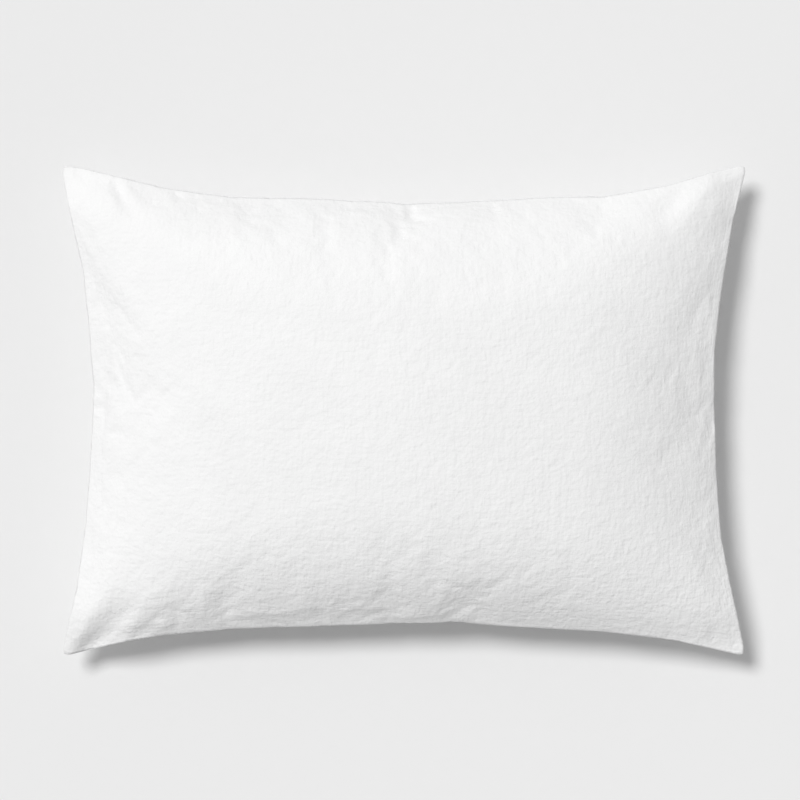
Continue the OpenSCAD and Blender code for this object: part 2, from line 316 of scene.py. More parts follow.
def fill_bag():
    """Fills the bag by cloth simulation and returns its front and back as grids of points."""
    s = shape()
    cell = s.cell
    mesh, rows, cols = cut_bag(cell)
    bag = bpy.data.objects.new("bag", mesh)
    scene = bpy.context.scene
    scene.collection.objects.link(bag)
    cloth = bag.modifiers.new("Cloth", "CLOTH")
    cloth.settings.quality = 5
    cloth.settings.mass = 0.15
    cloth.settings.air_damping = 2
    for strain in ("tension", "compression", "shear"):
        setattr(cloth.settings, strain + "_stiffness", 15 if strain == "shear" else 40)
        setattr(cloth.settings, strain + "_damping", 15)
    cloth.settings.bending_stiffness = 0.5
    cloth.settings.use_pressure = True
    cloth.settings.uniform_pressure_force = s.pressure
    cloth.settings.effector_weights.gravity = 0
    cloth.collision_settings.use_collision = False
    cloth.point_cache.frame_start = 1
    cloth.point_cache.frame_end = s.settle_steps
    scene.frame_end = s.settle_steps
    for step in range(1, s.settle_steps + 1):
        scene.frame_set(step)
    settled = bag.evaluated_get(bpy.context.evaluated_depsgraph_get())
    filled = bpy.data.meshes.new_from_object(settled)
    scene.frame_set(1)
    points = np.empty(len(filled.vertices) * 3)
    filled.vertices.foreach_get("co", points)
    points = points.reshape(-1, 3)
    place = np.empty(len(points), int)
    side = np.empty(len(points), int)
    filled.attributes["place"].data.foreach_get("value", place)
    filled.attributes["side"].data.foreach_get("value", side)
    grids = []
    for keep in (0, 1):
        grid = np.full(((rows + 1) * (cols + 1), 3), np.nan)
        mine = (side == keep) | (side == 2)
        grid[place[mine]] = points[mine]
        grids.append(grid.reshape(rows + 1, cols + 1, 3))
    bpy.data.objects.remove(bag)
    bpy.data.meshes.remove(mesh)
    bpy.data.meshes.remove(filled)
    if any(np.isnan(g).any() for g in grids):
        raise RuntimeError("the filled bag lost some of its points")
    return grids


def even_run(values, passes=400):
    """The even run of a side without its puckers, ending where the side ends."""
    run = values.copy()
    for _ in range(passes):
        run[1:-1] += (run[:-2] + run[2:] - 2 * run[1:-1]) / 4
    return run


# Unevenness of the sewn outline: side, middle and half-width of the stretch along it, and its
# outward shift, in millimetres.
WAVES = (
    ("far", -316, 34, 3.2),
    ("far", -258, 75, -3.5),
    ("far", 92, 45, -5.0),
    ("far", 308, 46, 3.3),
    ("near", -318, 36, 2.0),
    ("near", 40, 110, 4.0),
    ("near", 190, 60, -3.0),
    ("near", 285, 50, 2.2),
    ("right", -224, 40, 2.2),
    ("right", -140, 60, 2.0),
    ("right", -60, 150, 1.6),
    ("right", 232, 45, 3.2),
    ("left", -224, 30, 4.5),
    ("left", 60, 120, 2.8),
    ("left", 170, 90, 4.6),
    ("left", 232, 30, 2.5),
)


def waves(side, along):
    """Outward shift of a side of the outline at places along it."""
    total = np.zeros_like(along)
    for where, middle, half, shift in WAVES:
        if where == side:
            total += shift * MM * (1 - ease(0, 1, np.abs(along - middle * MM) / (half * MM)))
    return total


def fit_outline(front, back):
    """Draws the filled bag in plan to the pillow's outline, and keeps its puckers."""
    half_l, half_w = sharp_corner()
    rows, cols = front.shape[:2]
    u, v = np.linspace(-1, 1, cols), np.linspace(-1, 1, rows)
    passes = round(cols * cols / 30)
    x, y = u * half_l, v * half_w
    left = -end_x(y) - waves("left", y) - even_run(front[:, 0, 0], passes)
    right = end_x(y) + waves("right", y) - even_run(front[:, -1, 0], passes)
    near = near_y(x) - waves("near", x) - even_run(front[0, :, 1], passes)
    far = far_y(x) + waves("far", x) - even_run(front[-1, :, 1], passes)
    for grid in (front, back):
        grid[..., 0] += mix(left[:, None], right[:, None], (u[None, :] + 1) / 2)
        grid[..., 1] += mix(near[None, :], far[None, :], (v[:, None] + 1) / 2)


def calmed(grid, keep, rim_keep):
    """The even form of a panel, and its puckers lowered to a share of themselves."""
    calm = grid.copy()
    for side in (calm[0], calm[-1], calm[:, 0], calm[:, -1]):
        side[:] = even_run(side, 120)
    calm = smoother(calm, 40)
    keep = mix(keep, 0.6 * keep, ease(0.2, 0.9, shares(grid)[0]))
    share = mix(rim_keep, keep, ease(0, 40 * MM, rim_distance(grid)))
    return calm, share[..., None] * (grid - calm)


def round_corners(grid):
    """Rounds the four corners of a panel in plan, as they are sewn."""
    radius = shape().cut_corner
    x, y = grid[..., 0].copy(), grid[..., 1].copy()
    out = np.where(x > 0, x[:, -1:], -x[:, :1]) - radius
    top = np.where(y > 0, y[-1:], -y[:1]) - radius
    past_x, past_y = np.abs(x) - out, np.abs(y) - top
    both = (past_x > 0) & (past_y > 0)
    length = np.where(both, np.hypot(past_x, past_y), 1)
    share = np.where(both, np.maximum(past_x, past_y) / length, 1)
    grid[..., 0] = np.where(both, np.sign(x) * (out + past_x * share), x)
    grid[..., 1] = np.where(both, np.sign(y) * (top + past_y * share), y)


# Shares of the simulated puckers that the panels and their rim keep.
PUCKERS = 0.36
RIM_PUCKERS = 0.13

# Share of the crowned form in the front's height, with the rest as the filling blows it, and the
# back's depth against its seam height before the floor flattens it, and how softly it does so.
CROWNED = 0.75
BACK_DEPTH = 1.35
FLOOR_ROUND = 22 * MM

# Slopes of the front's flanks, in degrees, at distances in millimetres from the edge seam.
END_SLOPES = ((0, 27), (6, 30), (12, 32), (60, 30), (90, 25), (140, 13), (200, 7), (345, 0))
FAR_SLOPES = ((0, 37), (6, 43), (12, 48), (33, 44), (53, 35), (83, 21), (123, 8), (220, 0))
NEAR_SLOPES = ((0, 43), (6, 50), (12, 52), (33, 45), (53, 35), (83, 21), (123, 8), (220, 0))


def flank(slopes, distance):
    """Height share of a flank at a distance from the edge, 0 at the seam and 1 at the crest."""
    places, angles = np.array(slopes, float).T
    steps = np.linspace(0, places[-1], 400)
    gain = np.tan(np.radians(np.interp(steps, places, angles)))
    climb = np.concatenate([[0], np.cumsum((gain[1:] + gain[:-1]) / 2)])
    return np.interp(distance / MM, steps, climb / climb[-1])


def crown(x, y):
    """Height share of the front over a plan point, 0 round the edge and 1 in the middle."""
    out = end_x(y)
    return (
        flank(END_SLOPES, out - x) * flank(END_SLOPES, out + x)
        * flank(NEAR_SLOPES, y - near_y(x)) * flank(FAR_SLOPES, far_y(x) - y)
    )


def lay_down(front, back):
    """Gives the front its rise over the seam and lets the back settle flat on the floor."""
    rise = TOP_Z - SEAM_Z
    calm, puckers = calmed(front, PUCKERS, RIM_PUCKERS)
    x, y = calm[..., 0], calm[..., 1]
    blown = calm[..., 2] / calm[..., 2].max()
    calm[..., 2] = seam_height(x, y) + rise * mix(blown, crown(x, y), CROWNED)
    front[:] = calm + puckers
    calm, puckers = calmed(back, PUCKERS, RIM_PUCKERS)
    calm[..., 2] *= -BACK_DEPTH * SEAM_Z / calm[..., 2].min()
    back[:] = calm + puckers
    seam = seam_height(back[..., 0], back[..., 1])
    depth = -back[..., 2]
    floor = SEAM_Z - 0.4 * MM
    k = np.clip(0.5 + 0.5 * (depth - floor) / FLOOR_ROUND, 0, 1)
    depth = mix(depth, floor, k) - FLOOR_ROUND * k * (1 - k)
    back[..., 2] = np.maximum(seam - depth, 0.4 * MM)
    share_rim(front, back)


# ---------------------------------------------------------------- zip place


ZIP_SLOPE = math.radians(38)
ZIP_SET = 27 * MM
ZIP_CHANNEL = 4.75 * MM
STRIP_EDGE = (ZIP_SET - ZIP_CHANNEL) * math.cos(ZIP_SLOPE)
PANEL_EDGE = (ZIP_SET + ZIP_CHANNEL) * math.cos(ZIP_SLOPE)
CLOSED_EDGE = ZIP_SET * math.cos(ZIP_SLOPE)
CHAIN = 250 * MM
TAPE_HALF = CHAIN + 9 * MM


def opened(x):
    """1 along the zip, 0 beyond its stops, where the two panels close over the tapes."""
    return 1 - ease(CHAIN + 3 * MM, CHAIN + 10 * MM, np.abs(x))


def straighten_zip_band(back):
    """Lets the cloth beside the zip run straight at the zip's slope, as the taut tape holds it."""
    x, y = back[..., 0], back[..., 1]
    off = y - near_y(x)
    band = seam_height(x, y) - np.maximum(off, 0) * math.tan(ZIP_SLOPE)
    along = 1 - ease(272 * MM, 320 * MM, np.abs(x))
    across = ease(0, 8 * MM, off) * (1 - ease(34 * MM, 85 * MM, off))
    back[..., 2] = mix(back[..., 2], band, along * across)


def split_back(back):
    """Splits the back along the zip's two edges, into the facing strip and the main panel."""
    rows, cols = back.shape[:2]
    off = back[..., 1] - near_y(back[..., 0])
    beside = opened(back[rows // 20, :, 0])
    cut = {}
    for name, edge in (("strip", STRIP_EDGE), ("panel", PANEL_EDGE)):
        want = mix(CLOSED_EDGE, edge, beside)
        cut[name] = np.array([
            np.interp(want[i], off[: rows // 3, i], np.arange(rows // 3)) for i in range(cols)
        ])
    strip_rows = 8
    k = np.linspace(0, 1, strip_rows + 1)[:, None]
    strip = sample_rows(back, k * cut["strip"][None, :])
    k = np.linspace(0, 1, rows - 6)[:, None]
    main = sample_rows(back, mix(cut["panel"][None, :], rows - 1, k))
    return strip, main


# ---------------------------------------------------------------- folds and crinkles


def line_place(x, y, start, end):
    """Distance of points from a line, with its sign, and their share along it."""
    a, b = np.array(start), np.array(end)
    length = np.linalg.norm(b - a)
    d = (b - a) / length
    along = ((x - a[0]) * d[0] + (y - a[1]) * d[1]) / length
    aside = -(x - a[0]) * d[1] + (y - a[1]) * d[0]
    return aside, along


def press_fold(front, back, start, end, depth, width, ridge=0.0):
    """Presses a fold into the front from start to end, with a raised flank beside it.
    Near the seam the back goes with it, as the two lie close together there."""
    for grid in (front, back):
        aside, along = line_place(grid[..., 0], grid[..., 1], start, end)
        fade = ease(-0.15, 0.2, along) * (1 - ease(0.5, 1.15, along))
        wide = width * mix(0.8, 1.6, np.clip(along, 0, 1))
        valley = np.exp(-((aside / wide) ** 2))
        flank = np.exp(-(((aside - 1.9 * wide) / (1.2 * wide)) ** 2))
        below = seam_height(grid[..., 0], grid[..., 1]) - grid[..., 2]
        fade *= 1 - ease(0, 25 * MM, below)
        grid[..., 2] += fade * (ridge * flank - depth * valley)


# Folds of the front: start at the seam, end on the panel, depth, width, height of its flank.
FOLDS = (
    ((-0.332, -0.252), (-0.268, -0.189), 7.5, 10.0, 1.0),
    ((-0.33, -0.246), (-0.27, -0.236), 4.5, 10.0, 0.0),
    ((-0.27, -0.236), (-0.14, -0.224), 4.0, 14.0, 0.0),
    ((0.34, -0.24), (0.24, -0.227), 3.0, 20.0, 0.0),
    ((0.344, 0.235), (0.33, 0.16), 6.0, 16.0, 0.0),
    ((0.316, 0.1), (0.313, 0.0), -3.5, 12.0, 0.0),
    ((-0.275, -0.233), (-0.237, -0.198), 2.2, 6.0, 1.2),
    ((-0.231, -0.227), (-0.226, -0.18), 2.2, 7.0, 0.8),
    ((-0.178, -0.223), (-0.184, -0.164), 2.0, 7.0, 1.0),
    ((-0.083, -0.221), (-0.085, -0.177), 1.2, 6.0, 0.5),
    ((-0.016, -0.219), (-0.02, -0.177), 1.2, 6.0, 0.5),
    ((0.09, -0.221), (0.086, -0.177), 1.0, 6.0, 0.4),
    ((-0.294, 0.232), (-0.272, 0.19), 3.6, 5.0, 0.8),
    ((-0.332, 0.244), (-0.322, 0.228), 1.3, 4.0, 1.0),
    ((-0.233, 0.222), (-0.223, 0.208), 1.5, 4.5, 1.2),
    ((0.317, 0.24), (0.27, 0.175), -2.2, 9.0, 0.0),
    ((0.286, 0.228), (0.252, 0.186), 3.4, 8.0, 0.0),
    ((0.315, -0.233), (0.313, -0.215), 1.6, 4.5, 1.0),
    ((0.338, -0.239), (0.334, -0.229), 0.9, 3.0, 0.6),
    ((0.007, 0.209), (0.009, 0.191), 1.9, 4.0, 1.2),
    ((-0.01, 0.208), (-0.001, 0.171), 0.9, 3.5, 0.9),
    ((0.09, 0.21), (0.092, 0.193), 2.0, 4.5, 1.3),
    ((-0.059, 0.208), (-0.056, 0.187), 0.9, 5.0, 0.5),
    ((0.123, 0.21), (0.122, 0.189), 0.9, 5.0, 0.5),
    ((-0.316, 0.004), (-0.298, 0.002), 1.5, 4.0, 1.0),
    ((-0.294, -0.02), (-0.278, -0.024), 1.0, 4.0, 0.7),
    ((0.314, -0.008), (0.309, -0.036), 1.0, 3.0, 0.8),
)


def crumple(u, v, size, seed):
    """Ridged unevenness of crushed cloth over rest places u and v, about -0.5 to 0.5."""
    out = np.empty(u.size)
    for k, (a, b) in enumerate(zip(u.ravel(), v.ravel(), strict=True)):
        p = Vector((a / size, b / size, seed))
        warp = noise.noise_vector(p * 0.6) * 0.8
        out[k] = 0.5 - abs(noise.noise(p + warp)) * 1.6
    return out.reshape(u.shape)


def crinkle(grid, seed, amount=1.0):
    """Works the fine creases of the brushed cloth into a panel, along its normals."""
    u, v = shares(grid)
    u, v = u * shape().cut_length / 2, v * shape().cut_width / 2
    height = 0.34 * MM * crumple(u, v, 21 * MM, seed)
    height += 0.17 * MM * crumple(u, v, 9.5 * MM, seed + 5)
    height *= amount * ease(0, 6 * MM, rim_distance(grid))
    return grid + normals_of(grid) * height[..., None]


PANELS = {}


def shape_panels():
    """Fills the bag once, and works out every panel of the cover from it."""
    if PANELS:
        return PANELS
    front, back = fill_bag()
    centre = (front.reshape(-1, 3).max(0) + front.reshape(-1, 3).min(0)) / 2
    for grid in (front, back):
        grid[..., 0] -= centre[0]
        grid[..., 1] -= centre[1]
    fit_outline(front, back)
    lay_down(front, back)
    straighten_zip_band(back)
    PANELS["calm_front"], PANELS["calm_back"] = smoother(front, 12), smoother(back, 12)
    front, back = finer(front), finer(back)
    for panel in (front, back, PANELS["calm_front"], PANELS["calm_back"]):
        round_corners(panel)
    for start, end, depth, width, ridge in FOLDS:
        press_fold(front, back, start, end, depth * MM, width * MM, ridge * MM)
    straighten_zip_band(back)
    share_rim(back, front)
    front, back = crinkle(front, 1.0), crinkle(back, 9.0, 0.7)
    # The back leaves the front room for the insert's layers.
    rim = rim_distance(front) / MM
    room = 2.6 * ease(0, 8, rim) + 3.6 * ease(6, 14, rim) + 3 * ease(14, 30, rim)
    back[..., 2] = np.minimum(back[..., 2], front[..., 2] - room * MM)
    # At the seam the back's cloth lies under the front's, not beside it.
    under = 1 - ease(0, 20, rim)
    back[..., 2] = np.maximum(back[..., 2] - 1.2 * MM * under, 0.2 * MM)
    back[..., :2] *= 1 - 0.0008 * under[..., None]
    PANELS["front"] = front
    strip, main = split_back(back)
    PANELS["strip"], PANELS["main"] = strip, main
    return PANELS


# ---------------------------------------------------------------- mesh making


def new_piece(name, bm, material, smooth=True):
    """Makes the finished object of a bmesh and gives it its material."""
    for face in bm.faces:
        face.smooth = smooth
    mesh = bpy.data.meshes.new(name)
    bm.to_mesh(mesh)
    bm.free()
    obj = bpy.data.objects.new(name, mesh)
    bpy.context.scene.collection.objects.link(obj)
    obj.data.materials.append(material)
    return obj


def cloth_mesh(grid, size, flip=False):
    """A bmesh of one sheet laid over a grid of points, with its flat size as its UV map."""
    rows, cols = grid.shape[0] - 1, grid.shape[1] - 1
    bm = bmesh.new()
    uv = bm.loops.layers.uv.new("flat")
    bmesh.ops.create_grid(bm, x_segments=cols, y_segments=rows, size=0.5, calc_uvs=False)
    for face in bm.faces:
        for loop in face.loops:
            loop[uv].uv = ((loop.vert.co.x + 0.5) * size[0], (loop.vert.co.y + 0.5) * size[1])
    for v in bm.verts:
        i, j = round((v.co.x + 0.5) * cols), round((v.co.y + 0.5) * rows)
        v.co = grid[j, i]
    if flip:
        bmesh.ops.reverse_faces(bm, faces=bm.faces)
    return bm


def take_in(bm, other):
    """Moves the shape of another bmesh into this one."""
    spare = bpy.data.meshes.new("spare")
    other.to_mesh(spare)
    other.free()
    bm.from_mesh(spare)
    bpy.data.meshes.remove(spare)


def thicken(obj, thickness):
    """Gives a sheet its thickness inwards from the modelled face, with a closed rim."""
    wall = obj.modifiers.new("Thickness", "SOLIDIFY")
    wall.thickness = thickness
    wall.offset = -1
    wall.use_even_offset = False


def rides(obj, node):
    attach(obj, BODY)
    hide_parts(node)


# ---------------------------------------------------------------- materials


def shader(name):
    """A new node material: its tree and its Principled shader."""
    mat = bpy.data.materials.new(name)
    mat.use_nodes = True
    tree = mat.node_tree
    return mat, tree, tree.nodes["Principled BSDF"]


def fill_in(node, **sockets):
    """Sets a node's sockets, and links those that are given as outputs of other nodes."""
    for key, value in sockets.items():
        socket = node.inputs[int(key[1:]) if key[0] == "_" else key.replace("_", " ")]
        if isinstance(value, bpy.types.NodeSocket):
            node.id_data.links.new(value, socket)
        else:
            socket.default_value = value
    return node


def add(tree, kind, settings=None, **sockets):
    """Adds a node with its settings and its sockets."""
    node = tree.nodes.new(kind)
    for key, value in (settings or {}).items():
        setattr(node, key, value)
    return fill_in(node, **sockets)


def cloud(tree, place, scale, detail, **sockets):
    """Soft random unevenness over a place, from 0 to 1."""
    return add(
        tree, "ShaderNodeTexNoise", Vector=place, Scale=scale, Detail=detail, **sockets,
    ).outputs["Fac"]


def ramp(tree, factor, low, high):
    """A run between two colours; low and high are each a place on the factor and a colour."""
    node = add(tree, "ShaderNodeValToRGB", Fac=factor)
    for point, (place, colour) in zip(node.color_ramp.elements, (low, high), strict=True):
        point.position = place
        point.color = (*colour, 1)
    return node.outputs["Color"]


def tints(tree, factor, colour, low, high):
    """A run between two tints of a colour; low and high are each a place and a tint."""
    stops = [(place, [min(1.0, c * share) for c in colour]) for place, share in (low, high)]
    return ramp(tree, factor, *stops)


def maths(tree, operation, a, b=0.0, c=0.0):
    node = add(tree, "ShaderNodeMath", {"operation": operation}, _0=a, _1=b, _2=c)
    return node.outputs[0]


def group(name, inputs, outputs):
    """A shader node group with named inputs and outputs, built once."""
    tree = bpy.data.node_groups.new(name, "ShaderNodeTree")
    for label, kind, default in inputs:
        socket = tree.interface.new_socket(label, in_out="INPUT", socket_type=kind)
        if default is not None:
            socket.default_value = default
    for label, kind in outputs:
        tree.interface.new_socket(label, in_out="OUTPUT", socket_type=kind)
    return tree, tree.nodes.new("NodeGroupInput"), tree.nodes.new("NodeGroupOutput")


def place_group(tree, name, **sockets):
    return add(tree, "ShaderNodeGroup", {"node_tree": bpy.data.node_groups[name]}, **sockets)


def crushed_nap_group():
    """Crushed, brushed cloth: height in millimetres, and a shade of its nap and of broad random
    blotches.
    """
    tree, given, out = group(
        "crushed nap",
        [
            ("Place", "NodeSocketVector", None),
            ("Crease", "NodeSocketFloat", 0.1),
            ("Wrinkle", "NodeSocketFloat", 0.05),
            ("Nap", "NodeSocketFloat", 0.02),
        ],
        [("Height", "NodeSocketFloat"), ("Shade", "NodeSocketFloat")],
    )
    place = given.outputs["Place"]
    height = None
    for label, scale in (("Crease", 135.0), ("Wrinkle", 290.0)):
        field = cloud(tree, place, scale, 1.0, Roughness=0.45, Distortion=0.35)
        height = maths(tree, "MULTIPLY_ADD", field, given.outputs[label], height or 0.0)
    nap = cloud(tree, place, 780.0, 2.0, Roughness=0.65)
    height = maths(tree, "MULTIPLY_ADD", nap, given.outputs["Nap"], height)
    blotch = cloud(tree, place, 22.0, 3.0, Roughness=0.6)
    shade = maths(tree, "MULTIPLY_ADD", nap, 0.5, maths(tree, "MULTIPLY", blotch, 0.5))
    fill_in(out, Height=height, Shade=shade)


def slub_group():
    """Thick and thin yarns both ways, and a few long press lines: height in millimetres."""
    tree, given, out = group(
        "slubbed yarns", [("Place", "NodeSocketVector", None)], [("Height", "NodeSocketFloat")],
    )
    height = None
    yarns = (((90, 280), 0.30), ((280, 80), 0.36), ((14, 190), 0.12), ((190, 14), 0.11))
    for stretch, amount in yarns:
        place = add(
            tree, "ShaderNodeVectorMath", {"operation": "MULTIPLY"},
            _0=given.outputs["Place"], _1=(*stretch, 1.0),
        ).outputs[0]
        yarn = cloud(tree, place, 1.0, 0.5, Roughness=0.5, Distortion=0.3)
        height = maths(tree, "MULTIPLY_ADD", yarn, amount, height or 0.0)
    fill_in(out, Height=height)


def woven_group():
    """A plain or twill weave over the flat cloth: height, and a mask of the gaps between yarns."""
    tree, given, out = group(
        "woven yarns",
        [
            ("Place", "NodeSocketVector", None),
            ("Pitch", "NodeSocketFloat", 0.6 * MM),
            ("Slant", "NodeSocketFloat", 0.0),
        ],
        [("Height", "NodeSocketFloat"), ("Gap", "NodeSocketFloat")],
    )
    split = add(tree, "ShaderNodeSeparateXYZ", Vector=given.outputs["Place"])
    rate = maths(tree, "DIVIDE", 2 * math.pi, given.outputs["Pitch"])
    along = maths(tree, "MULTIPLY", split.outputs["X"], rate)
    across = maths(tree, "MULTIPLY", split.outputs["Y"], rate)
    lean = maths(tree, "MULTIPLY_ADD", across, given.outputs["Slant"], along)
    warp = maths(tree, "SINE", lean)
    weft = maths(tree, "SINE", across)
    height = maths(tree, "MULTIPLY", maths(tree, "ADD", warp, weft), 0.25)
    height = maths(tree, "ADD", height, 0.5)
    gap = maths(tree, "LESS_THAN", height, 0.14)
    fill_in(out, Height=height, Gap=gap)


def flat_place(tree):
    return add(tree, "ShaderNodeUVMap", {"uv_map": "flat"}).outputs["UV"]


def object_place(tree):
    return add(tree, "ShaderNodeTexCoord").outputs["Object"]


def bump(tree, height, distance=MM, strength=1.0):
    return add(
        tree, "ShaderNodeBump", Strength=strength, Distance=distance, Height=height,
    ).outputs["Normal"]


def cover_cloth():
    """Brushed white cloth, softly crushed all over, with a faint woven grid under its nap."""
    mat, tree, bsdf = shader("brushed_cover_cloth")
    nap = place_group(tree, "crushed nap", Place=object_place(tree), Crease=0.72, Wrinkle=0.40, Nap=0.02)
    weave = place_group(tree, "woven yarns", Place=flat_place(tree), Pitch=1.9 * MM)
    slubs = place_group(tree, "slubbed yarns", Place=flat_place(tree))
    height = maths(tree, "MULTIPLY_ADD", weave.outputs["Height"], 0.02, nap.outputs["Height"])
    height = maths(tree, "ADD", height, slubs.outputs["Height"])
    low = add(tree, "ShaderNodeSeparateXYZ", Vector=object_place(tree)).outputs["Y"]
    rumple = add(
        tree, "ShaderNodeMapRange", {"interpolation_type": "SMOOTHSTEP"},
        Value=low, From_Min=-0.06, From_Max=-0.2, To_Min=1.0, To_Max=1.35,
    ).outputs[0]
    height = maths(tree, "MULTIPLY", height, rumple)
    fill_in(
        bsdf, Roughness=0.92, Specular_IOR_Level=0.2, Sheen_Weight=0.12, Sheen_Roughness=0.6,
        Base_Color=tints(tree, nap.outputs["Shade"], colours().cover, (0.3, 0.965), (0.7, 1.02)),
        Normal=bump(tree, height),
    )
    return mat


def ticking_cloth():
    """Tightly woven cotton ticking, faintly twilled."""
    mat, tree, bsdf = shader("cotton_ticking")
    weave = place_group(tree, "woven yarns", Place=flat_place(tree), Pitch=0.8 * MM, Slant=1.0)
    nap = place_group(tree, "crushed nap", Place=object_place(tree), Crease=0.05, Wrinkle=0.02, Nap=0.03)
    height = maths(tree, "MULTIPLY_ADD", weave.outputs["Height"], 0.08, nap.outputs["Height"])
    fill_in(
        bsdf, Roughness=0.85, Sheen_Weight=0.1, Normal=bump(tree, height),
        Base_Color=tints(tree, weave.outputs["Height"], colours().ticking, (0.1, 0.9), (0.6, 1.03)),
    )
    return mat


def tape_cloth(name, colour, pitch, slant):
    """Narrow woven tape with a ribbed weave, for the zip and the label."""
    mat, tree, bsdf = shader(name)
    weave = place_group(tree, "woven yarns", Place=flat_place(tree), Pitch=pitch, Slant=slant)
    grain = cloud(tree, object_place(tree), 900.0, 2.0)
    height = maths(tree, "MULTIPLY_ADD", grain, 0.3, weave.outputs["Height"])
    fill_in(
        bsdf, Roughness=0.75, Sheen_Weight=0.08, Normal=bump(tree, height, 0.12 * MM),
        Base_Color=tints(tree, height, colour, (0.2, 0.88), (0.9, 1.04)),
    )
    return mat


def thread_yarn(name, colour):
    """Twisted sewing thread."""
    mat, tree, bsdf = shader(name)
    fuzz = cloud(tree, object_place(tree), 2600.0, 1.0, Distortion=1.2)
    fill_in(
        bsdf, Roughness=0.6, Sheen_Weight=0.1, Normal=bump(tree, fuzz, 0.15 * MM),
        Base_Color=tints(tree, fuzz, colour, (0.3, 0.86), (0.7, 1.05)),
    )
    return mat


def fibre_wool():
    """Loose hollow fibre: fine strands and soft tufts."""
    mat, tree, bsdf = shader("hollow_fibre")
    place = object_place(tree)
    strands = cloud(tree, place, 420.0, 4.0, Roughness=0.7, Distortion=2.5)
    height = maths(tree, "MULTIPLY_ADD", cloud(tree, place, 35.0, 3.0), 2.0, strands)
    fill_in(
        bsdf, Roughness=0.9, Sheen_Weight=0.4, Normal=bump(tree, height, 0.8 * MM),
        Base_Color=tints(tree, strands, colours().fibre, (0.3, 0.85), (0.65, 1.04)),
    )
    return mat


def nylon_coil():
    """Semi-gloss nylon filament, slightly clouded."""
    mat, tree, bsdf = shader("nylon_coil")
    mist = cloud(tree, object_place(tree), 500.0, 2.0)
    fill_in(
        bsdf, Base_Color=tints(tree, mist, colours().coil, (0.3, 0.93), (0.7, 1.03)),
        Roughness=ramp(tree, mist, (0.3, (0.3,) * 3), (0.7, (0.42,) * 3)),
    )
    return mat


def plated_metal():
    """Satin nickel plate with fine tumbling marks, duller where it is rubbed."""
    mat, tree, bsdf = shader("satin_nickel")
    place = object_place(tree)
    marks = cloud(tree, place, 1400.0, 4.0, Roughness=0.65)
    rub = cloud(tree, place, 260.0, 2.0)
    fill_in(
        bsdf, Metallic=1.0, Normal=bump(tree, marks, 0.03 * MM),
        Base_Color=tints(tree, rub, colours().metal, (0.35, 0.86), (0.7, 1.06)),
        Roughness=ramp(tree, marks, (0.3, (0.24,) * 3), (0.75, (0.44,) * 3)),
    )
    return mat


# ---------------------------------------------------------------- pieces


class PILLOW_OT_cover(Operator):
    """Makes the cover's front panel, back panel and facing strip from the filled bag"""

    bl_idname = "pillow.cover"
    bl_label = "Cover"

    def execute(self, context):
        s = shape()
        panels = shape_panels()
        cloth = cover_cloth()
        strip_width = ZIP_SET - ZIP_CHANNEL
        flat = {
            "cover_front": (s.cut_length, s.cut_width),
            "cover_back": (s.cut_length, s.cut_width - ZIP_SET),
            "cover_zip_strip": (s.cut_length, strip_width),
        }
        sources = {"cover_front": "front", "cover_back": "main", "cover_zip_strip": "strip"}
        for node, size in flat.items():
            bm = cloth_mesh(panels[sources[node]], size, flip=node != "cover_front")
            piece = new_piece(node + "_cloth", bm, cloth)
            thicken(piece, s.cloth)
            rides(piece, node)
        return {"FINISHED"}


def draw_in(grid, inset, drop):
    """A panel's grid drawn in from the outline and towards the seam, for a layer inside it."""
    half_l, half_w = sharp_corner()
    out = grid.copy()
    out[..., 0] *= 1 - inset / half_l
    out[..., 1] *= 1 - inset / half_w
    seam = seam_height(out[..., 0], out[..., 1])
    old = seam_height(grid[..., 0], grid[..., 1])
    height = grid[..., 2] - old
    lower = np.abs(height) - drop * ease(0, 30 * MM, np.abs(height))
    out[..., 2] = seam + np.sign(height) * np.maximum(lower, 0)
    return out


def keep_inside(grid, covers, gap, up):
    """Keeps a layer a gap inside the cloths over it, or with up -1 those under it."""
    for index in np.ndindex(grid.shape[:2]):
        x, y, z = grid[index]
        for cover in covers:
            hit, place, _, _ = cover.ray_cast(Vector((x, y, up)), Vector((0, 0, -up)))
            if hit and up * (z - place.z) > -gap:
                grid[index][2] = place.z - up * gap


def fit_between(front, back, covers, gap):
    """Keeps a pair of layers apart and inside the cover's front, its back and its facing strip."""
    keep_inside(front, covers[:1], gap, 1)
    apart = 1.8 * MM * ease(0, 12 * MM, rim_distance(front))
    back[..., 2] = np.minimum(back[..., 2], front[..., 2] - apart)
    keep_inside(back, covers[1:], gap, -1)
    share_rim(front, back)


class PILLOW_OT_insert(Operator):
    """Makes the ticking insert's two panels inside the cover"""

    bl_idname = "pillow.insert"
    bl_label = "Insert"

    def execute(self, context):
        s = shape()
        panels = shape_panels()
        cloth = ticking_cloth()
        inset = 14 * MM
        size = (s.cut_length - 2 * inset, s.cut_width - 2 * inset)
        front, back = (draw_in(panels["calm_" + side], inset, 5 * MM) for side in ("front", "back"))
        names = ("cover_front", "cover_back", "cover_zip_strip")
        covers = [bpy.data.objects[name + "_cloth"] for name in names]
        fit_between(front, back, covers, 3 * MM)
        panels["insert_front"], panels["insert_back"] = front, back
        fine_front, fine_back = (crinkle(finer(grid), 3.0, 0.5) for grid in (front, back))
        fit_between(fine_front, fine_back, covers, 1.6 * MM)
        for node, grid in (("insert_front", fine_front), ("insert_back", fine_back)):
            piece = new_piece(node + "_ticking", cloth_mesh(grid, size, flip=grid is fine_back), cloth)
            thicken(piece, 0.8 * MM)
            rides(piece, node)
        return {"FINISHED"}


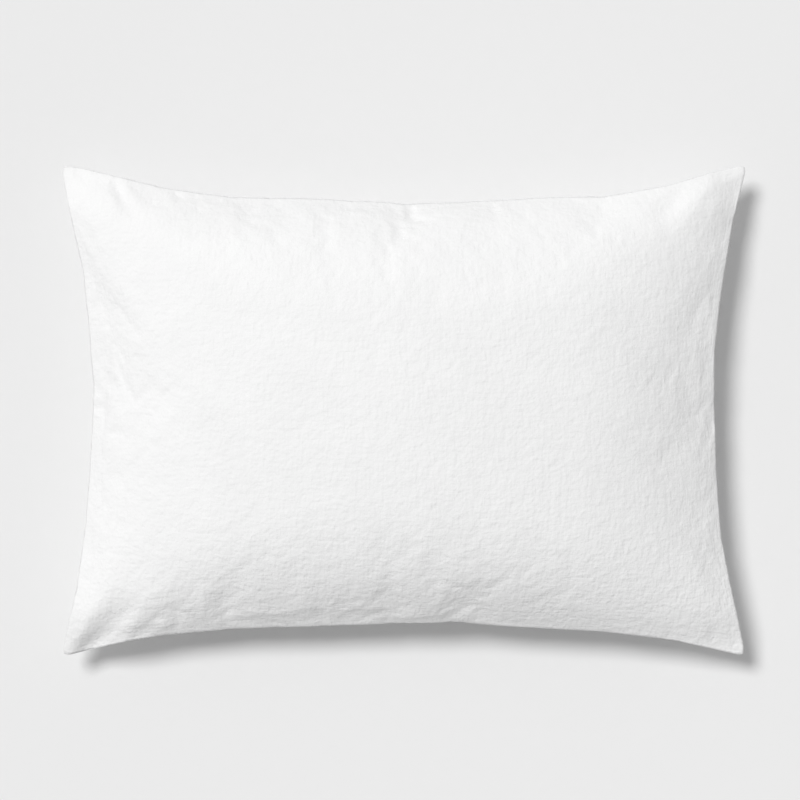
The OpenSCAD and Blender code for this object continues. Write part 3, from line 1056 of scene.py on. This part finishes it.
class PILLOW_OT_filling(Operator):
    """Makes the fibre filling as one lofty body inside the insert"""

    bl_idname = "pillow.filling"
    bl_label = "Filling"

    def execute(self, context):
        panels = shape_panels()
        top = draw_in(panels["insert_front"], 2 * MM, 2.5 * MM)
        low = draw_in(panels["insert_back"], 2 * MM, 2.5 * MM)
        share_rim(top, low)
        bm = cloth_mesh(top, (1, 1))
        take_in(bm, cloth_mesh(low, (1, 1), flip=True))
        bmesh.ops.remove_doubles(bm, verts=bm.verts, dist=1e-5)
        for v in bm.verts:
            lump = noise.noise(v.co * 28) * 0.8 + noise.noise(v.co * 90) * 0.4
            v.co.z -= abs(lump) * MM * (1 if v.co.z > SEAM_Z else -1)
        piece = new_piece("fibre_filling", bm, fibre_wool())
        rides(piece, "fibre_fill")
        return {"FINISHED"}


def thread_tube(path, radius, sides, closed=True, up=(0, 0, 1)):
    """A bmesh tube along a path of points: a grid wrapped round the path and sewn shut."""
    if closed:
        path = np.concatenate([path, path[:1]])
    ahead = np.gradient(path, axis=0)
    if closed:
        ahead[0] = ahead[-1] = path[1] - path[-2]
    aside = np.cross(np.array(up, float), ahead)
    aside /= np.linalg.norm(aside, axis=1, keepdims=True)
    over = np.cross(ahead, aside)
    over /= np.linalg.norm(over, axis=1, keepdims=True)
    runs = len(path) - 1
    bm = bmesh.new()
    bmesh.ops.create_grid(bm, x_segments=runs, y_segments=sides, size=0.5, calc_uvs=False)
    for v in bm.verts:
        k, turn = round((v.co.x + 0.5) * runs), 2 * math.pi * (v.co.y + 0.5)
        v.co = path[k] + radius * (math.cos(turn) * aside[k] + math.sin(turn) * over[k])
    bmesh.ops.remove_doubles(bm, verts=bm.verts, dist=radius * 0.05)
    bmesh.ops.holes_fill(bm, edges=[e for e in bm.edges if e.is_boundary], sides=sides)
    bmesh.ops.recalc_face_normals(bm, faces=bm.faces)
    return bm


THREAD = 0.3 * MM


class PILLOW_OT_seams(Operator):
    """Makes the threads that sew the cover's edge and the insert's edge"""

    bl_idname = "pillow.seams"
    bl_label = "Seam threads"

    def execute(self, context):
        panels = shape_panels()
        path = seam_path(panels["front"], 1.0 * MM, 0.8 * MM)
        material = thread_yarn("cover_thread", colours().thread)
        piece = new_piece("cover_seam_stitching", thread_tube(path, THREAD, 5), material)
        rides(piece, "cover_seam_thread")
        path = seam_path(finer(panels["insert_front"]), 0.6 * MM)
        material = thread_yarn("insert_thread", colours().ticking)
        piece = new_piece("insert_seam_stitching", thread_tube(path, THREAD, 5), material)
        rides(piece, "insert_seam_thread")
        return {"FINISHED"}


# ---------------------------------------------------------------- zip


def zip_point(x, across, out):
    """A point on the zip: x along it, across from its centre line, out of the cloth's face."""
    set_in = ZIP_SET + across
    radius = shape().near_radius + set_in * math.cos(ZIP_SLOPE) - out * math.sin(ZIP_SLOPE)
    height = SEAM_Z - 0.4 * MM - set_in * math.sin(ZIP_SLOPE) - out * math.cos(ZIP_SLOPE)
    angle = x / shape().near_radius
    return np.stack([radius * np.sin(angle), ARC_Y + radius * np.cos(angle), height + 0 * x], axis=-1)


TAPE_OUT = -1.1 * MM


class PILLOW_OT_zip(Operator):
    """Makes the zip's tapes, coils and topstitching, and plates its metal"""

    bl_idname = "pillow.zip"
    bl_label = "Zip"

    def execute(self, context):
        self.tapes()
        self.coils()
        self.stitches()
        metal = plated_metal()
        for node in ("zip_slider", "zip_pull", "zip_top_stops", "zip_bottom_stop"):
            frame["nodes"][node].data.materials.clear()
            frame["nodes"][node].data.materials.append(metal)
        return {"FINISHED"}

    def tapes(self):
        cloth = tape_cloth("zip_tape_weave", colours().tape, 0.9 * MM, 1.0)
        x = np.linspace(-TAPE_HALF, TAPE_HALF, 209)[None, :]
        for node, side in (("zip_tape_upper", -1), ("zip_tape_lower", 1)):
            across = np.linspace(0.5 * MM, 12 * MM, 10)[:, None]
            ripple = 0.05 * MM * np.sin(x * 130 + side) * (across / (12 * MM))
            grid = zip_point(x, side * across, TAPE_OUT - np.abs(ripple))
            size = (2 * TAPE_HALF, 11.5 * MM)
            piece = new_piece(node + "_weave", cloth_mesh(grid, size, flip=side > 0), cloth)
            thicken(piece, 0.45 * MM)
            rides(piece, node)

    def coils(self):
        nylon = nylon_coil()
        pitch = 1.3 * MM
        turns = round(2 * CHAIN / pitch)
        per_turn = 8
        k = np.arange(turns * per_turn + 1)
        for node, side in (("zip_coil_upper", -1), ("zip_coil_lower", 1)):
            phase = k / per_turn + (0.5 if side > 0 else 0.0)
            a = phase * 2 * math.pi
            x = -CHAIN + k / per_turn * pitch
            across = side * (1.02 * MM + 0.86 * MM * np.cos(a))
            out = TAPE_OUT + 0.8 * MM + 0.55 * MM * np.sin(a)
            turned = thread_tube(zip_point(x, across, out), 0.25 * MM, 5, closed=False, up=(1, 0, 0))
            piece = new_piece(node + "_turns", turned, nylon)
            rides(piece, node)

    def stitches(self):
        yarn = thread_yarn("topstitch_thread", colours().thread)
        stitch, gap = 2.6 * MM, 0.6 * MM
        count = int(2 * CHAIN / (stitch + gap))
        for node, side in (("zip_stitch_upper", -1), ("zip_stitch_lower", 1)):
            across = side * (ZIP_CHANNEL + 2.5 * MM)
            bm = bmesh.new()
            for k in range(count):
                start = -CHAIN + k * (stitch + gap)
                x = start + stitch * np.linspace(0, 1, 5)
                out = 0.32 * MM * np.sin(np.linspace(0, 1, 5) * math.pi) - 0.1 * MM
                take_in(bm, thread_tube(zip_point(x, across, out), 0.22 * MM, 5, closed=False))
            piece = new_piece(node + "_rows", bm, yarn)
            rides(piece, node)


class PILLOW_OT_label(Operator):
    """Makes the folded blank care label inside the left seam"""

    bl_idname = "pillow.label"
    bl_label = "Care label"

    def execute(self, context):
        lo, hi = (corner + Vector((3 * MM, 0, 0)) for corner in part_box("care_label"))
        length, width = hi[1] - lo[1], hi[0] - lo[0]
        level = (lo[2] + hi[2]) / 2
        share = np.linspace(-1, 1, 25)
        fold = 0.14 * MM
        x = lo[0] + width * (1 - np.abs(share))
        z = level + fold * np.tanh(share * 12)
        y = np.linspace(-length / 2, length / 2, 25)
        grid = np.empty((25, 25, 3))
        grid[..., 0] = x[None, :]
        grid[..., 1] = y[:, None]
        grid[..., 2] = z[None, :] + 0.02 * MM * np.sin(y[:, None] * 400)
        size = (2 * width, length)
        tape = tape_cloth("label_satin", (0.88, 0.88, 0.87), 0.4 * MM, 0.0)
        piece = new_piece("care_label_folded", cloth_mesh(grid, size), tape)
        thicken(piece, 0.1 * MM)
        rides(piece, "care_label")
        return {"FINISHED"}


# ---------------------------------------------------------------- stage


class PILLOW_OT_stage(Operator):
    """Makes the floor, the soft key light, the even sky and the camera above the pillow"""

    bl_idname = "pillow.stage"
    bl_label = "Stage"

    def execute(self, context):
        stage = context.scene.pillow_stage
        scene = context.scene
        scene.view_settings.view_transform = "Standard"
        scene.view_settings.look = "None"

        mat, tree, bsdf = shader("studio_floor")
        grain = cloud(tree, object_place(tree), 60.0, 2.0)
        shades = tints(tree, grain, stage.floor, (0.3, 0.998), (0.7, 1.002))
        fill_in(bsdf, Base_Color=shades, Roughness=1.0, Specular_IOR_Level=0.0)
        bm = bmesh.new()
        bmesh.ops.create_grid(bm, x_segments=2, y_segments=2, size=20)
        floor = new_piece("studio_floor", bm, mat, smooth=False)

        world = bpy.data.worlds.new("even_sky")
        world.use_nodes = True
        sky = world.node_tree.nodes["Background"]
        fill_in(sky, Color=(1, 1, 1, 1), Strength=stage.sky_power)
        scene.world = world

        key = bpy.data.lights.new("key", "SUN")
        key.energy = stage.key_power
        key.angle = stage.key_spread
        lamp = bpy.data.objects.new("key", key)
        flat = math.cos(stage.key_height)
        towards = Vector((
            flat * math.cos(stage.key_turn), flat * math.sin(stage.key_turn), math.sin(stage.key_height),
        ))
        lamp.location = towards * 3
        lamp.rotation_euler = towards.to_track_quat("Z", "Y").to_euler()
        scene.collection.objects.link(lamp)

        lens = bpy.data.cameras.new("camera")
        distance = 4.0
        lens.sensor_width = 36
        lens.lens = lens.sensor_width * (distance - SEAM_Z) / stage.view_width
        lens.clip_end = 50
        camera = bpy.data.objects.new("camera", lens)
        camera.location = (-0.0036, 0.0106, distance)
        scene.collection.objects.link(camera)
        scene.camera = camera
        return {"FINISHED"}


class PILLOW_PT_panel(Panel):
    """Lists the pillow's pieces in the order they are made"""

    bl_idname = "PILLOW_PT_panel"
    bl_label = "Bed pillow"
    bl_space_type = "VIEW_3D"
    bl_region_type = "UI"
    bl_category = "Pillow"

    def draw(self, context):
        for operator in STEPS:
            self.layout.operator(operator.bl_idname)
        for settings in ("pillow_shape", "pillow_colours", "pillow_stage"):
            box = self.layout.box()
            owner = getattr(context.scene, settings)
            for name in owner.bl_rna.properties.keys():
                if name not in ("rna_type", "name"):
                    box.prop(owner, name)


STEPS = (
    PILLOW_OT_stage,
    PILLOW_OT_cover,
    PILLOW_OT_insert,
    PILLOW_OT_filling,
    PILLOW_OT_seams,
    PILLOW_OT_zip,
    PILLOW_OT_label,
)
CLASSES = (PillowShape, PillowColours, PillowStage, *STEPS, PILLOW_PT_panel)


def register():
    for cls in CLASSES:
        bpy.utils.register_class(cls)
    bpy.types.Scene.pillow_shape = PointerProperty(type=PillowShape)
    bpy.types.Scene.pillow_colours = PointerProperty(type=PillowColours)
    bpy.types.Scene.pillow_stage = PointerProperty(type=PillowStage)


def unregister():
    del bpy.types.Scene.pillow_stage
    del bpy.types.Scene.pillow_colours
    del bpy.types.Scene.pillow_shape
    for cls in reversed(CLASSES):
        bpy.utils.unregister_class(cls)


def main():
    register()
    crushed_nap_group()
    slub_group()
    woven_group()
    bpy.ops.pillow.stage()
    bpy.ops.pillow.cover()
    bpy.ops.pillow.insert()
    bpy.ops.pillow.filling()
    bpy.ops.pillow.seams()
    bpy.ops.pillow.zip()
    bpy.ops.pillow.label()
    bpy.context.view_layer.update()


if __name__ == "__main__":
    main()
